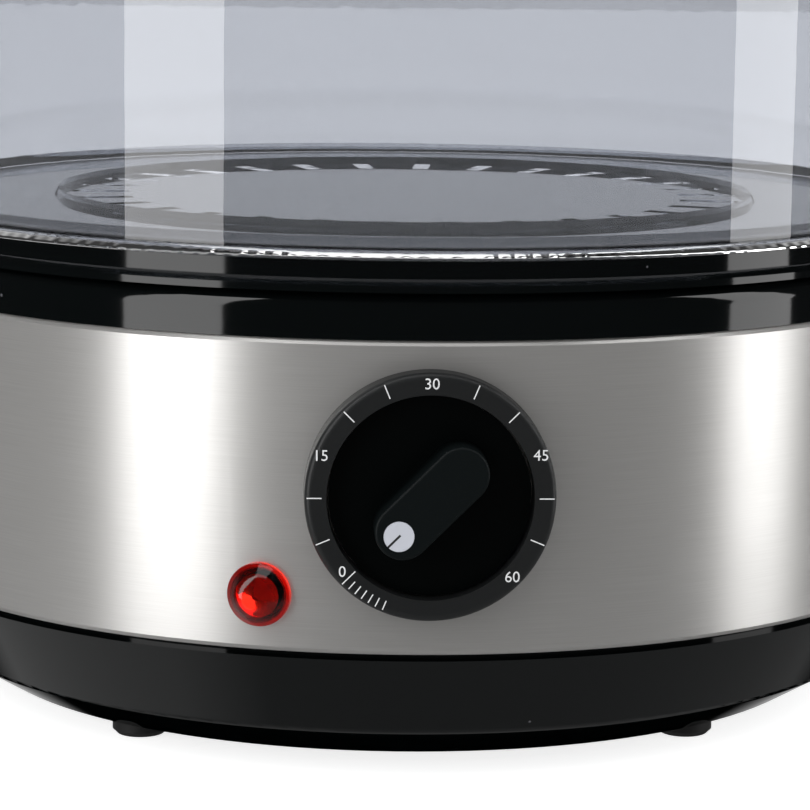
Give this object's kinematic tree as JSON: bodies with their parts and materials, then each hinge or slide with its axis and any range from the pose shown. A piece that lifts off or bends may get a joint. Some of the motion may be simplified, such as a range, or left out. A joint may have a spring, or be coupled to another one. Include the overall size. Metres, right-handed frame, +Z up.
{
  "type": "electric food steamer",
  "caption": "Round tiered electric food steamer: black base with a brushed steel band, timer knob and lamp, drip tray, clear stacking bowls and a clear lid.",
  "frame": {"origin": "on the steamer's vertical axis, at the level its feet stand on", "axes": "+Z up, the timer dial faces -Y, +X to the right as seen from the front"},
  "size_m": [0.2406, 0.2498, 0.3477],
  "materials": {
    "black_gloss": "glossy moulded black plastic",
    "black_matt": "fine satin black plastic",
    "brushed_band": "horizontally brushed stainless steel",
    "clear_plastic": "clear rigid plastic",
    "pointer_grey": "pale grey inlay",
    "lamp_red": "clear red plastic",
    "bulb_glass": "clear glass",
    "rubber_black": "black rubber",
    "silicone": "off-white silicone",
    "zinc_steel": "zinc-plated steel",
    "cast_plate": "cast plate, satin",
    "element_sheath": "dark heater sheath",
    "inner_plastic": "cream moulded plastic",
    "bell_brass": "pressed brass"
  },
  "bodies": {
    "base": {"lower_housing": "black_gloss", "rubber_feet": "rubber_black", "housing_screws": "zinc_steel", "steel_band": "brushed_band", "water_tank": "black_gloss", "heater_plate": "cast_plate", "heater_gasket": "silicone", "heater_clamp": "zinc_steel", "heating_element": "element_sheath", "thermostat": "inner_plastic", "dial_ring": "black_matt", "timer_cover": "zinc_steel", "timer_case": "inner_plastic", "timer_bell": "bell_brass", "timer_screws": "zinc_steel", "lamp_lens": "lamp_red", "lamp_bulb": "bulb_glass", "lamp_holder": "inner_plastic", "cord_bush": "rubber_black", "terminal_block": "inner_plastic"},
    "knob": {"knob": "black_matt", "knob_marker": "pointer_grey", "timer_shaft": "zinc_steel"},
    "steam_ring": {"steam_ring": "black_matt"},
    "drip_tray": {"drip_tray": "black_gloss"},
    "lower_bowl": {"lower_bowl_floor": "clear_plastic", "lower_bowl_wall": "clear_plastic"},
    "upper_bowl": {"upper_bowl_floor": "clear_plastic", "upper_bowl_wall": "clear_plastic"},
    "lid": {"lid": "clear_plastic", "lid_handle": "black_matt", "lid_screw": "zinc_steel"}
  },
  "joints": [
    {"name": "knob_turn", "type": "hinge", "parent": "base", "child": "knob", "pos_m": [0, -0.118, 0.0616], "axis": [0, 1, 0], "range_deg": [0, 270]},
    {"name": "steam_ring_lift", "type": "slide", "parent": "base", "child": "steam_ring", "axis": [0, 0, 1], "range_m": [0, 0.012]},
    {"name": "drip_tray_lift", "type": "slide", "parent": "base", "child": "drip_tray", "axis": [0, 0, 1], "range_m": [0, 0.08]},
    {"name": "lower_bowl_lift", "type": "slide", "parent": "drip_tray", "child": "lower_bowl", "axis": [0, 0, 1], "range_m": [0, 0.08]},
    {"name": "upper_bowl_lift", "type": "slide", "parent": "lower_bowl", "child": "upper_bowl", "axis": [0, 0, 1], "range_m": [0, 0.1]},
    {"name": "lid_lift", "type": "slide", "parent": "upper_bowl", "child": "lid", "axis": [0, 0, 1], "range_m": [0, 0.1]}
  ]
}
